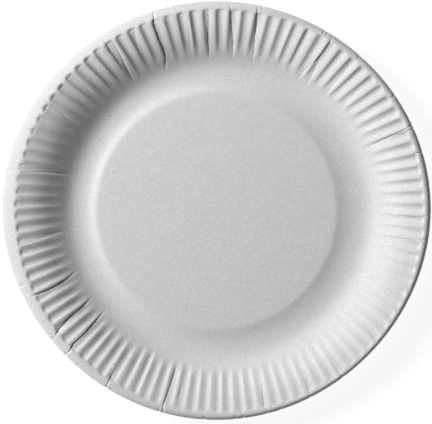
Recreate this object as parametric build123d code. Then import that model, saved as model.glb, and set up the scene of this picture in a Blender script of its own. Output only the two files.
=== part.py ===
from build123d import *
import math
import os

# A round plate pressed hot from one flat blank of board. It stands on a flat foot ring, and
# its centre is pressed up a little above that ring. The wall rises to a smooth lip that
# rolls down at the cut edge, and radial flutes take up the fullness of the blank.
# Millimetres and degrees. Z is up, and the origin is on the table under the centre.

# Sizes over all
plate_diameter = 230.0  # over the rolled lip
foot_diameter = 150.0  # along the middle of the foot ring
board_thickness = 0.4

# Section inside the foot ring
foot_width = 2.0  # flat width that stands on the table
toe_curve = 5.4  # plan width of the curve from the step into the foot
step_fall = 2.4  # plan width of the straight fall
shoulder_curve = 2.8  # plan width of the curve from the centre into the fall
step_slope = 15.5

# Section outside the foot ring
heel_curve = 9.0  # plan width of the curve from the foot into the wall
wall_plain = 0.5  # plan width of straight wall below the flutes
wall_slope = 36.5
brow_slope = 16.5  # where the flutes are deepest
lip_start_slope = -3.0  # where the flutes end, just over the crest
lip_crown = 3.1  # plan width of the smooth crown of the lip
lip_slope = -22.0
lip_roll = 1.9  # plan width of the last turn down to the cut edge
edge_slope = -55.0

# Flutes
flute_count = 100
flute_fade_in = 6.0  # plan length over which a groove deepens from nothing
flute_fade_out = 3.6  # plan length of a groove's rounded outer end
groove_depth_low = 0.5
groove_depth_high = 0.9
groove_lead = -0.9  # turn of the first groove from +X
pitch_drift = 1.77  # the blank gathers more on one side, so the pitch drifts once round
drift_towards = 194.0
pitch_wobble = 0.4  # and a little twice round
wobble_towards = 125.0

# A groove is wide and round and the ridge beside it is tight. Its depth across one pitch is
# a Bezier curve with these ordinates, which sink it by groove_middle at half the pitch.
GROOVE_ORDINATES = (0.0, 0.0, 1.0, 0.8, 1.0, 0.0, 0.0)
GROOVE_DEGREE = len(GROOVE_ORDINATES) - 1
SAME_SLOPE = 1e-9  # radians

edge_radius = plate_diameter / 2
foot_inner = (foot_diameter - foot_width) / 2
foot_outer = (foot_diameter + foot_width) / 2
flute_start = foot_outer + heel_curve + wall_plain
flute_end = edge_radius - lip_roll - lip_crown
groove_middle = sum(
    math.comb(GROOVE_DEGREE, i) * ordinate for i, ordinate in enumerate(GROOVE_ORDINATES)
) / 2**GROOVE_DEGREE


class Station:
    """A point of the section, its slope outwards in radians and the depth of a groove there."""

    def __init__(self, radius, height, slope, depth):
        self.radius = radius
        self.height = height
        self.slope = slope
        self.depth = depth

    def moved(self, along, up=0.0):
        """The station moved along its own slope and square to it."""
        run = along * math.cos(self.slope) - up * math.sin(self.slope)
        rise = along * math.sin(self.slope) + up * math.cos(self.slope)
        return Station(self.radius + run, self.height + rise, self.slope, self.depth)


def upper_section():
    """Stations of the upper side from the flat centre to the cut edge, joined by arcs."""
    plan = [  # radius, slope, depth of a groove
        (foot_inner - toe_curve - step_fall - shoulder_curve, 0.0, 0.0),
        (foot_inner - toe_curve - step_fall, -step_slope, 0.0),
        (foot_inner - toe_curve, -step_slope, 0.0),
        (foot_inner, 0.0, 0.0),
        (foot_outer, 0.0, 0.0),
        (foot_outer + heel_curve, wall_slope, 0.0),
        (flute_start, wall_slope, 0.0),
        (flute_start + flute_fade_in, wall_slope, groove_depth_low),
        (flute_end - flute_fade_out, brow_slope, groove_depth_high),
        (flute_end, lip_start_slope, 0.0),
        (edge_radius - lip_roll, lip_slope, 0.0),
        (edge_radius, edge_slope, 0.0),
    ]
    stations = []
    height = 0.0
    for radius, degrees, depth in plan:
        slope = math.radians(degrees)
        if stations:
            last = stations[-1]
            height += (radius - last.radius) * math.tan((last.slope + slope) / 2)
        stations.append(Station(radius, height, slope, depth))
    foot = next(s for s in stations if s.radius == foot_inner)
    lift = board_thickness - foot.height
    for station in stations:
        station.height += lift
    return stations


def ridge_angle(index):
    """Angle of the ridge before groove number index, in degrees."""
    even = 360.0 * (index - 0.5) / flute_count
    once = math.radians(even - drift_towards)
    twice = 2 * math.radians(even - wobble_towards)
    drift = pitch_drift * math.cos(once) + pitch_wobble * math.cos(twice)
    return even + groove_lead + drift


def on_plate(radius, height, angle):
    turn = math.radians(angle)
    return Vector(radius * math.cos(turn), radius * math.sin(turn), height)


def section_edge(start, end, angle):
    """The line or arc between two stations, in the upright plane at an angle."""
    first = on_plate(start.radius, start.height, angle)
    last = on_plate(end.radius, end.height, angle)
    if abs(end.slope - start.slope) < SAME_SLOPE:
        return Edge.make_line(first, last)
    run = end.radius - start.radius
    rise = end.height - start.height
    bulge = math.tan((end.slope - start.slope) / 4) / 2
    middle = on_plate(
        (start.radius + end.radius) / 2 + rise * bulge,
        (start.height + end.height) / 2 - run * bulge,
        angle,
    )
    return Edge.make_three_point_arc(first, middle, last)


def plain_face(start, end, angle, pitch):
    """One pitch of the smooth surface between two stations."""
    return Face.revolve(section_edge(start, end, angle), pitch, Axis.Z)


def section_handles(start, end):
    """Four stations that steer a cubic curve along the arc between two stations."""
    chord = math.hypot(end.radius - start.radius, end.height - start.height)
    half_turn = (end.slope - start.slope) / 2
    reach = chord / 3
    if abs(half_turn) > SAME_SLOPE:
        reach *= 2 * math.tan(half_turn / 2) / math.sin(half_turn)
    return [start, start.moved(reach), end.moved(-reach), end]


def raise_degree(points, degree):
    """The same Bezier curve with more control points."""
    while len(points) <= degree:
        count = len(points)
        raised = [points[0]]
        for i in range(1, count):
            share = i / count
            raised.append(points[i - 1] * share + points[i] * (1 - share))
        raised.append(points[-1])
        points = raised
    return points


def round_handles(angle, pitch):
    """Control points of a unit arc one pitch long, one for each column of a fluted patch."""
    reach = math.tan(math.radians(pitch) / 4) * 4 / 3
    first = on_plate(1, 0, angle)
    last = on_plate(1, 0, angle + pitch)
    leave = on_plate(reach, 0, angle + 90)
    arrive = on_plate(reach, 0, angle + pitch - 90)
    return raise_degree([first, first + leave, last + arrive, last], GROOVE_DEGREE)


def fluted_face(start, end, angle, pitch):
    """One groove of the fluted surface between two stations, from ridge to ridge."""
    columns = round_handles(angle, pitch)
    net = []
    for handle in section_handles(start, end):
        row = []
        for direction, ordinate in zip(columns, GROOVE_ORDINATES):
            point = handle.moved(0.0, -handle.depth * ordinate / groove_middle)
            row.append(direction * point.radius + Vector(0, 0, point.height))
        net.append(row)
    return Face.make_bezier_surface(net)


def skin_faces(section, ridges):
    """All faces of one side of the board."""
    faces = [centre_face(section[0], ridges)]
    for start, end in zip(section, section[1:]):
        fluted = start.depth > 0 or end.depth > 0
        make = fluted_face if fluted else plain_face
        for angle, following in zip(ridges, ridges[1:]):
            faces.append(make(start, end, angle, following - angle))
    return faces


def centre_face(station, ridges):
    """The flat centre, whose rim has one arc for each flute."""
    arcs = []
    for angle, following in zip(ridges, ridges[1:]):
        points = [
            on_plate(station.radius, station.height, turn)
            for turn in (angle, (angle + following) / 2, following)
        ]
        arcs.append(Edge.make_three_point_arc(*points))
    return Face(Wire(arcs))


def plate():
    upper = upper_section()
    lower = [station.moved(0.0, -board_thickness) for station in upper]
    ridges = [ridge_angle(index) for index in range(flute_count)]
    ridges.append(ridges[0] + 360.0)
    faces = skin_faces(upper, ridges) + skin_faces(lower, ridges)
    for angle, following in zip(ridges, ridges[1:]):
        cut_edge = Edge.make_line(
            on_plate(upper[-1].radius, upper[-1].height, angle),
            on_plate(lower[-1].radius, lower[-1].height, angle),
        )
        faces.append(Face.revolve(cut_edge, following - angle, Axis.Z))
    return Solid(Shell(faces)).clean()


os.makedirs("parts", exist_ok=True)
export_step(plate(), "parts/plate.step")
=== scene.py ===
import math

import bmesh
import bpy
import numpy as np
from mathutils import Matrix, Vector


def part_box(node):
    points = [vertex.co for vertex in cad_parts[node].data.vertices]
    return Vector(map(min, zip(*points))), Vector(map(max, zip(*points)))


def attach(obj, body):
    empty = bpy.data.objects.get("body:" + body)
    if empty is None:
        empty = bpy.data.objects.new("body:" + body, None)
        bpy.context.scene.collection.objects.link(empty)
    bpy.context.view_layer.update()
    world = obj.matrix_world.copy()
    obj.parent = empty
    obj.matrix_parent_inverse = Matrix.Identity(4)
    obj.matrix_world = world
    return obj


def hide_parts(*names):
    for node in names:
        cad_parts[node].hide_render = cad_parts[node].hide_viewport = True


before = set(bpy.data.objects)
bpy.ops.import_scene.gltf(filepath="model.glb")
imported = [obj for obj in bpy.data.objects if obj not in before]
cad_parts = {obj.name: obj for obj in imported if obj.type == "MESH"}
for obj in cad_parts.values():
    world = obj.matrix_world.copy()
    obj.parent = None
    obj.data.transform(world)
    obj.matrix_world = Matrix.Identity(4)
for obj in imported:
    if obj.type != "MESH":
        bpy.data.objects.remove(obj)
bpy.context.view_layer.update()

# A white paper plate on a pale table, seen from straight above. Blender's unit is the metre,
# and sizes are written in millimetres and turned by MM. Angles are degrees, anticlockwise
# from +X as seen from above.
MM = 0.001
PLATE_LOW, PLATE_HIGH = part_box("plate")

# ---------------------------------------------------------------------------- section
BOARD = 0.4
EDGE_RADIUS = 115.0
FOOT_RADIUS = 75.0
# Radius and slope where one arc of the upper side ends and the next begins, as far as the
# wall. Then come three ways that the brow and the lip go on from there, round the plate: a steep
# brow and a lip rolled down early, a flatter brow with the same lip on either side of that, and
# opposite them a lip rolled down late and tight.
BODY = (
    (0.0, 0.0),
    (55.0, -0.4),
    (63.9, -1.5),
    (65.7, -15.5),
    (67.3, -15.5),
    (69.0, -11.5),
    (73.6, 0.0),
    (75.0, 0.0),
    (84.4, 32.5),
    (88.0, 34.5),
    (94.0, 33.0),
)
STEEP_LIP = (
    (103.0, 20.3),
    (107.6, 17.0),
    (109.6, 2.0),
    (110.3, -12.0),
    (111.5, -17.0),
    (113.0, -18.0),
    (115.0, -26.0),
)
EARLY_LIP = (
    (103.0, 15.5),
    (107.6, 11.5),
    (109.6, 2.0),
    (110.3, -12.0),
    (111.5, -17.0),
    (113.0, -18.0),
    (115.0, -26.0),
)
LATE_LIP = (
    (103.0, 17.0),
    (107.6, 15.0),
    (110.0, 8.5),
    (111.4, 0.0),
    (112.5, -13.0),
    (113.5, -29.0),
    (115.0, -55.0),
)
STEEP_TOWARDS = 138.0
STEEP_SPAN = (0.45, 0.97)  # cosines of how far aside the steep brow ends and is whole
EARLY_TOWARDS = 147.0
EARLY_SPAN = (-0.45, 0.95)
SECTION_SAMPLES = 4601

# The outline isn't a true circle: its mean radius, and for each swell, how many times it comes
# round, how high it is and the angle where it's greatest.
OUTLINE_RADIUS = 113.25
OUTLINE_SWELLS = ((2, 1.25, 1.0), (3, 0.26, 32.0), (4, 0.40, 0.0))
SWELL_RADII = (60.0, 110.0, 115.0)
SWELL_SHARES = (0.42, 0.55, 1.0)  # how much of the swell each ring has

# The die's rings aren't quite concentric: where the middle of each lies.
SLIP_RADII = (0.0, 66.0, 75.0, 85.0, 105.0, 110.0, 115.0)
SLIP_X = (0.05, 0.05, 2.5, 2.3, 1.8, 1.6, 0.1)
SLIP_Y = (-0.2, -0.2, -1.0, -0.8, -0.9, -0.4, 0.2)
GATHER_X = 0.43  # the point that the flutes and the folds run towards
GATHER_Y = -0.21

# ---------------------------------------------------------------------------- flutes
FLUTES = 100
GROOVE_LEAD = -0.9
PITCH_DRIFT = 1.77  # the blank gathers more on one side, so the pitch drifts once round
DRIFT_TOWARDS = 194.0
PITCH_WOBBLE = 0.4  # and a little twice round
WOBBLE_TOWARDS = 125.0
GROOVE_START = 84.8
GROOVE_FULL = 90.5
GROOVE_BROW = 107.9
GROOVE_END = 110.1
END_SHIFT = 0.5  # on one side the grooves end twice this much further out than on the other
END_TOWARDS = 95.0
GROOVE_BOW = 0.8  # a groove's end is round: its sides end this much before its middle
# Depth of the grooves at three radii, round the plate.
DEPTH_RADII = (92.0, 99.0, 105.0)
DEPTH_ANGLES = (0.0, 15.0, 45.0, 75.0, 105.0, 135.0, 165.0, 195.0, 225.0, 255.0, 285.0, 315.0)
DEPTHS = (
    (0.50, 0.62, 0.69, 0.57, 0.35, 0.27, 0.20, 0.33, 0.69, 0.71, 0.46, 0.31),
    (0.92, 1.04, 0.83, 0.77, 0.69, 0.80, 0.43, 0.68, 0.86, 0.63, 0.43, 0.40),
    (1.02, 1.18, 1.00, 0.86, 0.88, 1.20, 0.62, 0.84, 0.86, 0.53, 0.45, 0.48),
)
# The change of depth between two of the radii goes on past them, as far as these shares of the
# distance from one to the other.
DEPTH_INWARDS = -0.4
DEPTH_OUTWARDS = 1.2
# How many degrees the flutes turn anticlockwise over LEAN_LENGTH of radius, round the plate.
LEAN_ANGLES = (0.0, 25.0, 60.0, 110.0, 145.0, 190.0, 215.0, 250.0, 290.0, 325.0, 350.0)
LEANS = (-0.6, -0.7, -0.15, 0.3, 1.0, 0.7, 0.2, 0.1, -0.5, -0.6, -0.5)
LEAN_RADIUS = 97.0
LEAN_LENGTH = 18.0
LEAN_LIMIT = 0.7  # how many such lengths the lean goes on for, inwards and outwards
# How the grooves differ from one to the next: in depth, and in where they end and begin.
GROOVE_DEEPER = (0.86, 1.12)
GROOVE_LONGER = 0.22
GROOVE_LATER = 0.7
GROOVE_SKEW = -0.09  # a groove is steeper on its anticlockwise side
GROOVE_SKEW_SPREAD = 0.04
GROOVE_FORM = (15.0, 14.0, 0.71875)  # a round bottom and tighter ridges, 1 deep in the middle
SEED = 5


def section_table(stations):
    """Radii in even steps, with the height and slope of the upper side at each."""
    radii = np.linspace(0.0, EDGE_RADIUS, SECTION_SAMPLES)
    ends = [radius for radius, _ in stations]
    sines = [math.sin(math.radians(slope)) for _, slope in stations]
    slopes = np.arcsin(np.interp(radii, ends, sines))
    rises = np.diff(radii) * np.tan((slopes[1:] + slopes[:-1]) / 2)
    heights = np.concatenate(([0.0], np.cumsum(rises)))
    heights += BOARD - np.interp(FOOT_RADIUS, radii, heights)
    return radii, heights, slopes


STEEP_SECTION = section_table(BODY + STEEP_LIP)
EARLY_SECTION = section_table(BODY + EARLY_LIP)
LATE_SECTION = section_table(BODY + LATE_LIP)


def smooth_step(value, low, high):
    """Rises smoothly from 0 at low to 1 at high."""
    share = np.clip((value - low) / (high - low), 0.0, 1.0)
    return share * share * (3.0 - 2.0 * share)


# ---------------------------------------------------------------------------- folds
# Sharp folds where the blank was gathered too tight: how deep each is, which flank is steep
# (1 for the one on the anticlockwise side), and the points it runs through, as angle and
# radius.
FOLDS = (
    (0.34, 1, ((23.5, 110.0), (23.3, 100.0), (23.1, 88.0))),
    (0.16, -1, ((40.9, 99.5), (39.9, 92.0), (39.3, 85.5))),
    (0.22, -1, ((47.6, 106.0), (47.3, 97.0), (47.1, 85.5))),
    (0.36, 1, ((56.4, 110.5), (56.4, 103.0), (56.6, 95.5))),
    (0.20, -1, ((56.6, 97.0), (57.7, 92.0), (58.6, 84.5))),
    (0.22, 1, ((56.4, 97.0), (55.5, 92.0), (54.9, 85.0))),
    (0.34, 1, ((78.8, 111.0), (78.5, 105.0), (77.8, 97.0))),
    (0.26, -1, ((78.0, 98.0), (77.3, 92.0), (76.7, 84.5))),
    (0.30, 1, ((86.4, 110.0), (85.9, 102.0), (85.4, 95.0))),
    (0.28, -1, ((84.9, 96.0), (84.5, 91.0), (84.3, 84.5))),
    (0.26, 1, ((93.0, 98.0), (93.1, 91.0), (93.1, 84.5))),
    (0.16, -1, ((92.4, 106.0), (92.4, 96.0), (92.4, 90.0))),
    (0.20, 1, ((97.8, 110.2), (96.5, 111.4), (95.1, 111.0))),
    (0.18, -1, ((98.7, 102.0), (98.9, 96.0), (99.3, 86.0))),
    (
        0.42,
        1,
        (
            (108.0, 111.4), (109.1, 103.5), (108.7, 95.0),
            (108.4, 90.0), (108.9, 86.5), (110.1, 83.0),
        ),
    ),
    (0.22, -1, ((114.2, 108.5), (114.9, 104.0), (115.9, 99.0))),
    (0.34, -1, ((121.7, 108.0), (121.7, 99.0), (122.2, 92.0), (122.7, 85.0))),
    (0.22, 1, ((123.7, 110.0), (123.8, 102.0), (123.5, 96.0))),
    (0.24, -1, ((136.8, 108.0), (136.8, 100.0), (136.6, 91.5))),
    (0.30, -1, ((147.2, 109.5), (147.5, 101.0), (148.0, 96.0), (148.6, 92.5))),
    (0.16, -1, ((151.0, 109.5), (151.4, 104.0))),
    (0.26, -1, ((168.6, 107.0), (168.1, 100.5), (167.2, 94.0), (166.6, 86.0), (165.7, 82.0))),
    (0.22, 1, ((167.1, 109.5), (166.1, 103.5))),
    (0.22, 1, ((190.0, 108.5), (189.6, 99.5), (188.2, 91.0), (187.7, 85.0))),
    (0.42, -1, ((204.6, 109.5), (205.1, 101.0), (204.8, 92.0), (203.9, 87.5), (203.1, 84.0))),
    (0.20, 1, ((207.0, 107.0), (206.5, 101.0), (205.7, 96.0))),
    (0.40, -1, ((217.5, 109.5), (216.2, 100.5), (215.5, 94.0), (215.5, 89.5), (214.6, 84.5))),
    (0.22, -1, ((217.2, 108.5), (216.4, 104.0))),
    (0.46, -1, ((223.6, 110.0), (222.7, 105.0), (222.7, 96.5), (222.3, 89.5), (221.6, 83.5))),
    (0.34, -1, ((237.6, 115.0), (237.5, 109.0), (237.2, 104.0))),
    (0.18, 1, ((236.9, 106.0), (236.1, 101.0), (235.7, 97.0))),
    (0.28, -1, ((255.0, 115.0), (254.4, 108.5), (254.8, 100.5), (255.2, 87.0))),
    (0.24, -1, ((258.1, 103.0), (258.4, 97.0))),
    (0.20, -1, ((283.4, 108.5), (284.1, 99.0))),
    (0.16, -1, ((296.7, 110.0), (297.6, 103.0))),
    (0.22, -1, ((307.0, 113.0), (306.8, 103.0))),
    (0.16, -1, ((320.8, 110.0), (321.6, 104.5))),
    (0.14, -1, ((333.7, 110.0), (333.7, 96.0))),
    (0.26, 1, ((352.5, 114.0), (351.6, 108.0), (351.6, 99.5), (351.2, 92.0))),
    (0.18, 1, ((358.9, 114.5), (358.2, 110.0), (358.0, 103.0))),
)
FOLD_DEEPEN = 1.3  # every fold is made this many times as deep as it's listed
FOLD_STEEP = 0.45  # plan width of a fold's steep flank
FOLD_GENTLE = 1.5  # and of its other flank
FOLD_FADE = 1.6  # length over which a fold dies out at each end
FOLD_DRAW = 3.0  # columns of the mesh on each side that are drawn over to a fold
# Short nicks across the lip: the angle and depth of each. One with a depth below 0 stands up.
NICKS = (
    (6.8, 0.12), (16.1, 0.16), (22.8, 0.18), (23.7, 0.14), (33.1, 0.14), (46.7, 0.12),
    (47.5, 0.2), (58.4, 0.16), (59.3, 0.14), (77.6, 0.14), (102.5, -0.12), (201.0, 0.16),
    (217.9, 0.2), (223.5, 0.22), (228.0, 0.14), (253.7, 0.14), (266.6, 0.2), (275.1, 0.16),
    (277.2, 0.18), (284.0, 0.16), (287.9, 0.16), (296.6, 0.12),
)
NICK_DEEPEN = 1.6  # and every nick this many times more
NICK_INNER = 110.6
NICK_OUTER = 115.6
# Ruffled patches beside some folds: angle, radius, reach in mm and depth of each.
RUFFLES = (
    (57.4, 89.5, 3.6, 0.10),
    (58.6, 97.0, 3.4, 0.05),
    (92.6, 92.0, 4.0, 0.05),
    (113.6, 99.0, 3.6, 0.06),
    (121.4, 97.0, 4.4, 0.08),
    (147.4, 102.5, 4.6, 0.09),
    (167.6, 103.5, 5.0, 0.09),
    (188.4, 100.0, 4.0, 0.06),
    (202.6, 103.0, 3.6, 0.07),
    (213.8, 101.5, 4.0, 0.08),
    (220.6, 99.0, 3.6, 0.07),
    (254.0, 104.0, 4.0, 0.05),
)
RUFFLE_LENGTH = 1.5  # from one small ridge of a ruffle to the next
RUFFLE_STRETCH = 1.6  # a patch is this many times as long along the flutes as across them
RUFFLE_SLANT = 0.25  # how its ridges slant and wander from the flutes
RUFFLE_WANDER = 0.3
RUFFLE_BENDS = 0.9


# ---------------------------------------------------------------------------- mesh
INNER_COLUMNS = 4 * FLUTES
SPLIT = 4  # columns of the fluted wall for each column of the floor
INNER_RINGS = (30.0, 58.0, 63.3, 64.3, 65.3, 66.3, 67.6, 69.0, 70.6, 72.4, 74.2, 76.6, 79.0)
WALL_RINGS = tuple(np.arange(81.0, 106.5, 2.1))
LIP_RINGS = (
    107.4, 108.0, 108.5, 109.0, 109.5, 110.0, 110.5,
    111.0, 111.5, 112.1, 112.8, 113.5, 114.2, 115.0,
)
OUTER_RINGS = WALL_RINGS + LIP_RINGS
RINGS = np.array((0.0,) + INNER_RINGS + OUTER_RINGS)
RING_SLACK = 0.1  # a split edge's middle lies this little inside its ring
COLUMN = 360.0 / (INNER_COLUMNS * SPLIT)
CREASE_ANGLE = 32.0  # an edge sharper than this isn't smoothed over


def deselect_all():
    for thing in bpy.context.selected_objects:
        thing.select_set(False)


def ring_out(radius, last_radius):
    """Extrudes the selected ring of edges outwards to a new radius."""
    bpy.ops.mesh.extrude_edges_move()
    share = radius / last_radius
    bpy.ops.transform.resize(value=(share, share, 1.0), center_override=(0.0, 0.0, 0.0))


def select_ring(mesh, radius):
    """Selects the ring of edges at a radius."""
    bpy.ops.mesh.select_all(action="DESELECT")
    shape = bmesh.from_edit_mesh(mesh)
    for edge in shape.edges:
        reaches = [math.hypot(v.co.x, v.co.y) / MM for v in edge.verts]
        edge.select_set(max(abs(reach - radius) for reach in reaches) < RING_SLACK)
    bmesh.update_edit_mesh(mesh)


def face_up(mesh):
    """Turns every face of the flat disc to look upwards."""
    bpy.ops.mesh.select_all(action="DESELECT")
    shape = bmesh.from_edit_mesh(mesh)
    shape.normal_update()
    for face in shape.faces:
        face.select_set(face.normal.z < 0)
    bmesh.update_edit_mesh(mesh)
    bpy.ops.mesh.flip_normals()


def blank():
    """A flat disc of board with close rings where the section and the flutes need them."""
    bpy.ops.mesh.primitive_circle_add(
        vertices=INNER_COLUMNS, radius=INNER_RINGS[0] * MM, fill_type="TRIFAN"
    )
    disc = bpy.context.object
    bpy.ops.object.mode_set(mode="EDIT")
    bpy.ops.mesh.select_mode(type="EDGE")
    select_ring(disc.data, INNER_RINGS[0])
    for last, radius in zip(INNER_RINGS, INNER_RINGS[1:]):
        ring_out(radius, last)
    bpy.ops.mesh.subdivide(number_cuts=SPLIT - 1)
    select_ring(disc.data, INNER_RINGS[-1])
    for last, radius in zip(INNER_RINGS[-1:] + OUTER_RINGS, OUTER_RINGS):
        ring_out(radius, last)
    face_up(disc.data)
    bpy.ops.object.mode_set(mode="OBJECT")
    return disc


def true_angle(turn, radius):
    """Where the even turn of a flute lands: the pitch drifts and the flutes lean."""
    once = np.radians(turn - DRIFT_TOWARDS)
    twice = np.radians(2 * (turn - WOBBLE_TOWARDS))
    angle = turn + GROOVE_LEAD + PITCH_DRIFT * np.cos(once) + PITCH_WOBBLE * np.cos(twice)
    lean = np.interp(angle, LEAN_ANGLES, LEANS, period=360.0)
    run = np.clip((radius - LEAN_RADIUS) / LEAN_LENGTH, -LEAN_LIMIT, LEAN_LIMIT)
    return angle + lean * run


def groove_depth(radius, turn):
    """Depth of the flutes: a round groove, a tighter ridge, and a round outer end."""
    rng = np.random.default_rng(SEED)
    deeper = rng.uniform(*GROOVE_DEEPER, FLUTES)
    longer = rng.normal(0.0, GROOVE_LONGER, FLUTES)
    later = rng.normal(0.0, GROOVE_LATER, FLUTES)
    skew = rng.normal(GROOVE_SKEW, GROOVE_SKEW_SPREAD, FLUTES)
    place = turn * FLUTES / 360.0 + 0.5
    flute = np.floor(place).astype(int) % FLUTES
    across = place % 1.0
    parabola = across * (1 - across)
    across = across + skew[flute] * 4 * parabola
    parabola = across * (1 - across)
    square, cube, whole = GROOVE_FORM
    form = (square * parabola**2 - cube * parabola**3) / whole
    inner, middle, outer = [np.interp(turn, DEPTH_ANGLES, row, period=360.0) for row in DEPTHS]
    share = (radius - DEPTH_RADII[0]) / (DEPTH_RADII[1] - DEPTH_RADII[0])
    along = inner + (middle - inner) * np.clip(share, DEPTH_INWARDS, 1.0)
    share = (radius - DEPTH_RADII[1]) / (DEPTH_RADII[2] - DEPTH_RADII[1])
    along = (along + (outer - middle) * np.clip(share, 0.0, DEPTH_OUTWARDS)) * deeper[flute]
    along = along * smooth_step(radius - later[flute], GROOVE_START, GROOVE_FULL)
    bow = GROOVE_BOW * (2 * across - 1) ** 2
    reach = radius + bow - longer[flute]
    reach = reach - END_SHIFT * (1 + np.cos(np.radians(turn - END_TOWARDS)))
    return form * along * (1 - smooth_step(reach, GROOVE_BROW, GROOVE_END))


def fold(angle, reach, ring, depth, flank, path):
    """Draws the nearest column over to a fold and gives how far the fold lifts the board."""
    radii = [radius for _, radius in path]
    angles = [degrees for degrees, _ in path]
    order = np.argsort(radii)
    radii = np.array(radii)[order]
    centre = np.interp(reach, radii, np.array(angles)[order])
    off = (angle - centre + 180.0) % 360.0 - 180.0
    fade = smooth_step(reach, radii[0] - FOLD_FADE, radii[0] + FOLD_FADE)
    fade = fade * (1 - smooth_step(reach, radii[-1] - FOLD_FADE / 2, radii[-1] + FOLD_FADE / 2))
    near = (np.abs(off) < FOLD_DRAW * COLUMN) & (fade > 0)
    for one in np.unique(ring[near]):
        here = near & (ring == one)
        miss = off[here][np.abs(off[here]).argmin()]
        share = 1 - np.abs(off[here]) / (FOLD_DRAW * COLUMN)
        angle[here] -= miss * share
        off[here] -= miss * share
    across = np.radians(off) * reach * flank
    width = np.where(across > 0, FOLD_STEEP, FOLD_GENTLE)
    share = np.clip(1 - np.abs(across) / width, 0.0, 1.0)
    return -FOLD_DEEPEN * depth * fade * np.where(across > 0, share, share**2)


def ruffle(angle, reach):
    """Small ridges that run outwards, in patches that die out all round."""
    lift = np.zeros_like(reach)
    for degrees, centre, size, depth in RUFFLES:
        aside = (angle - degrees + 180.0) % 360.0 - 180.0
        across = np.radians(aside) * centre
        along = reach - centre
        fade = np.exp(-((across / size) ** 2) - (along / (RUFFLE_STRETCH * size)) ** 2)
        wander = RUFFLE_WANDER * np.sin(along * RUFFLE_BENDS + degrees)
        bent = across + RUFFLE_SLANT * along + wander
        lift += depth * fade * np.sin(bent * 2 * math.pi / RUFFLE_LENGTH)
    return lift


def outline_share(angle):
    """The outline's radius at an angle as a share of the section's."""
    radius = OUTLINE_RADIUS
    for times, swell, towards in OUTLINE_SWELLS:
        radius = radius + swell * np.cos(np.radians(times * (angle - towards)))
    return radius / EDGE_RADIUS


def press(disc):
    """Moves each point of the flat disc to its place on the pressed plate."""
    count = len(disc.data.vertices)
    flat = np.empty(count * 3)
    disc.data.vertices.foreach_get("co", flat)
    flat = flat.reshape(-1, 3) / MM
    ring = np.abs(np.hypot(flat[:, 0], flat[:, 1])[:, None] - RINGS).argmin(axis=1)
    radius = RINGS[ring]
    turn = np.degrees(np.arctan2(flat[:, 1], flat[:, 0]))
    angle = true_angle(turn, radius)
    steep = smooth_step(np.cos(np.radians(angle - STEEP_TOWARDS)), *STEEP_SPAN)
    early = smooth_step(np.cos(np.radians(angle - EARLY_TOWARDS)), *EARLY_SPAN) * (1 - steep)
    height = slope = 0.0
    shares = ((STEEP_SECTION, steep), (EARLY_SECTION, early), (LATE_SECTION, 1 - steep - early))
    for (radii, heights, slopes), share in shares:
        height = height + share * np.interp(radius, radii, heights)
        slope = slope + share * np.interp(radius, radii, slopes)
    slip_x = np.interp(radius, SLIP_RADII, SLIP_X)
    slip_y = np.interp(radius, SLIP_RADII, SLIP_Y)
    swell = np.interp(radius, SWELL_RADII, SWELL_SHARES)
    wide = radius * (1 + swell * (outline_share(angle) - 1))
    once = np.radians(angle)
    reach = wide + (slip_x - GATHER_X) * np.cos(once) + (slip_y - GATHER_Y) * np.sin(once)
    lift = ruffle(angle, reach) - groove_depth(radius, turn)
    for depth, flank, path in FOLDS:
        lift += fold(angle, reach, ring, depth, flank, path)
    for degrees, depth in NICKS:
        path = ((degrees, NICK_INNER), (degrees, NICK_OUTER))
        lift += fold(angle, reach, ring, NICK_DEEPEN * depth, 1, path)
    once = np.radians(angle)
    aside = (slip_y - GATHER_Y) * np.cos(once) - (slip_x - GATHER_X) * np.sin(once)
    once = once - aside / np.maximum(wide, SWELL_RADII[0])
    out = wide - lift * np.sin(slope)
    up = height + lift * np.cos(slope)
    placed = np.column_stack((out * np.cos(once) + slip_x, out * np.sin(once) + slip_y, up))
    disc.data.vertices.foreach_set("co", (placed * MM).ravel())
    disc.data.update()


def give_thickness(disc):
    """Grows the sheet downwards by the board's thickness."""
    solid = disc.modifiers.new("board", "SOLIDIFY")
    solid.thickness = BOARD * MM
    solid.offset = -1.0
    solid.use_even_offset = True
    bpy.ops.object.modifier_apply(modifier=solid.name)
    bpy.ops.object.shade_smooth_by_angle(angle=math.radians(CREASE_ANGLE))


# ---------------------------------------------------------------------------- material
FLECK = (-57.2, 51.0, 0.0)  # a fleck of bark in the board, by the foot of the wall
FLECK_RADIUS = 0.55
FELT_SIZE = 0.9
CLOUD_SIZE = 5.0
CLOUD_SHARE = 0.12
# A Mix node for colours names its sockets as it does those for numbers, so they go by place.
MIX_FIRST = 6
MIX_SECOND = 7
MIX_COLOUR = 2


def linear(hex_colour):
    """An sRGB hex colour as linear red, green, blue and alpha."""
    channels = [int(hex_colour[i:i + 2], 16) / 255 for i in (1, 3, 5)]
    return [c / 12.92 if c <= 0.04045 else ((c + 0.055) / 1.055) ** 2.4 for c in channels] + [1.0]


def add(tree, kind, settings, links):
    """Adds a node, sets its properties and sockets, and links sockets from others."""
    node = tree.nodes.new(kind)
    for name, value in settings.items():
        if isinstance(name, str) and hasattr(node, name):
            setattr(node, name, value)
        else:
            node.inputs[name].default_value = value
    for name, source in links.items():
        tree.links.new(source, node.inputs[name])
    return node


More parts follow.
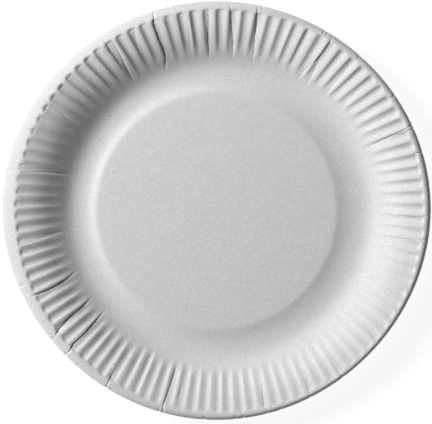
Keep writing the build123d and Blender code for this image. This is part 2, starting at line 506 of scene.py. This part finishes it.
def pressed_paperboard():
    """Bleached white paperboard, pressed hot in a die: quite matt, with a faint felt of fibres
    on the surface, a fainter cloud where the sheet formed unevenly, and one fleck of bark."""
    material = bpy.data.materials.new("pressed_paperboard")
    material.use_nodes = True
    tree = material.node_tree
    tree.nodes.clear()
    place = add(tree, "ShaderNodeTexCoord", {}, {}).outputs["Object"]
    # A fibre is 0.03 mm wide, too fine to show, so the felt is drawn 0.9 mm coarse. The sheet
    # forms unevenly over about 5 mm.
    felt = add(
        tree,
        "ShaderNodeTexNoise",
        {"Scale": 1 / (FELT_SIZE * MM), "Detail": 3.0, "Roughness": 0.6, "Distortion": 0.6},
        {"Vector": place},
    ).outputs["Fac"]
    cloud = add(
        tree,
        "ShaderNodeTexNoise",
        {"Scale": 1 / (CLOUD_SIZE * MM), "Detail": 2.0, "Roughness": 0.5},
        {"Vector": place},
    ).outputs["Fac"]
    mixed = add(
        tree, "ShaderNodeMix", {"Factor": CLOUD_SHARE}, {"A": felt, "B": cloud}
    ).outputs["Result"]
    tint = add(tree, "ShaderNodeValToRGB", {}, {"Fac": mixed})
    tint.color_ramp.elements[0].color = linear("#CFCFCF")
    tint.color_ramp.elements[0].position = 0.3
    tint.color_ramp.elements[1].color = linear("#E4E4E4")
    tint.color_ramp.elements[1].position = 0.7
    fleck_place = add(
        tree,
        "ShaderNodeMapping",
        {
            "Location": [-at / FLECK_RADIUS for at in FLECK],
            "Scale": (1 / (FLECK_RADIUS * MM), 1 / (FLECK_RADIUS * MM), 0.0),
        },
        {"Vector": place},
    ).outputs["Vector"]
    fleck = add(
        tree, "ShaderNodeTexGradient", {"gradient_type": "SPHERICAL"}, {"Vector": fleck_place}
    ).outputs["Fac"]
    surface = add(
        tree,
        "ShaderNodeMix",
        {"data_type": "RGBA", MIX_SECOND: linear("#5C5A56")},
        {"Factor": fleck, MIX_FIRST: tint.outputs["Color"]},
    ).outputs[MIX_COLOUR]
    gloss = add(
        tree,
        "ShaderNodeMapRange",
        {"From Min": 0.3, "From Max": 0.7, "To Min": 0.66, "To Max": 0.82},
        {"Value": felt},
    ).outputs["Result"]
    grain = add(
        tree,
        "ShaderNodeBump",
        {"Strength": 0.3, "Distance": 0.03 * MM},
        {"Height": felt},
    ).outputs["Normal"]
    shader = add(
        tree,
        "ShaderNodeBsdfPrincipled",
        {"IOR": 1.45, "Specular IOR Level": 0.15},
        {"Base Color": surface, "Roughness": gloss, "Normal": grain},
    )
    add(tree, "ShaderNodeOutputMaterial", {}, {"Surface": shader.outputs["BSDF"]})
    return material


def table_material():
    """A matt white table top, which glows so that it stays pale under a low light."""
    material = bpy.data.materials.new("white_table")
    material.use_nodes = True
    tree = material.node_tree
    tree.nodes.clear()
    shader = add(
        tree,
        "ShaderNodeBsdfPrincipled",
        {
            "Base Color": linear("#707070"),
            "Roughness": 0.9,
            "Emission Color": linear("#FFFFFF"),
            "Emission Strength": 0.9,
        },
        {},
    )
    add(tree, "ShaderNodeOutputMaterial", {}, {"Surface": shader.outputs["BSDF"]})
    return material


# ---------------------------------------------------------------------------- stage
# Lengths from here on are in metres, and the light's power is in watts.
LIGHT_DISTANCE = 1.6
KEY_ANGLE = 155.0
KEY_ELEVATION = 36.0
KEY_ASIDE = 35.0  # turned away to one side, so the light falls off across the plate
KEY_SIZE = 0.57
KEY_POWER = 38.3
FILL = 0.02
TABLE_SIZE = 40.0  # so wide that its far edge isn't seen from low down
TABLE_GAP = 0.0001
CAMERA_DISTANCE = 2.5
CAMERA_REACH = 20.0
VIEW_WIDTH = 0.2317
VIEW_CENTRE = (-0.00032, -0.00086)
SENSOR = 36.0


def table():
    """A plain floor just under the plate."""
    below = PLATE_LOW[2] - TABLE_GAP
    bpy.ops.mesh.primitive_plane_add(size=TABLE_SIZE, location=(0.0, 0.0, below))
    floor = bpy.context.object
    floor.name = "table"
    floor.data.materials.append(table_material())


def key_softbox():
    """A round soft light low on one side of the plate."""
    flat = math.cos(math.radians(KEY_ELEVATION)) * LIGHT_DISTANCE
    turn = math.radians(KEY_ANGLE)
    data = bpy.data.lights.new("key_softbox", "AREA")
    data.shape = "DISK"
    data.size = KEY_SIZE
    data.energy = KEY_POWER
    light = bpy.data.objects.new("key_softbox", data)
    light.location = (
        flat * math.cos(turn),
        flat * math.sin(turn),
        math.sin(math.radians(KEY_ELEVATION)) * LIGHT_DISTANCE,
    )
    facing = turn + math.pi / 2 + math.radians(KEY_ASIDE)
    light.rotation_euler = (math.radians(90.0 - KEY_ELEVATION), 0.0, facing)
    bpy.context.scene.collection.objects.link(light)


def fill_light():
    """A faint even light from all round."""
    world = bpy.data.worlds.new("studio")
    world.use_nodes = True
    background = world.node_tree.nodes["Background"]
    background.inputs["Color"].default_value = linear("#FFFFFF")
    background.inputs["Strength"].default_value = FILL
    bpy.context.scene.world = world


def camera():
    """Looks straight down on the middle of the plate, from far enough to see it all."""
    data = bpy.data.cameras.new("camera")
    data.sensor_width = SENSOR
    data.lens = SENSOR * CAMERA_DISTANCE / VIEW_WIDTH
    data.clip_end = CAMERA_REACH
    seen = bpy.data.objects.new("camera", data)
    seen.location = (*VIEW_CENTRE, CAMERA_DISTANCE + PLATE_HIGH[2])
    bpy.context.scene.collection.objects.link(seen)
    bpy.context.scene.camera = seen


camera()
deselect_all()
plate = blank()
plate.name = "pressed_plate"
press(plate)
give_thickness(plate)
plate.data.materials.append(pressed_paperboard())
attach(plate, "root")
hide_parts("plate")
deselect_all()
table()
key_softbox()
fill_light()
bpy.context.scene.view_settings.view_transform = "Standard"
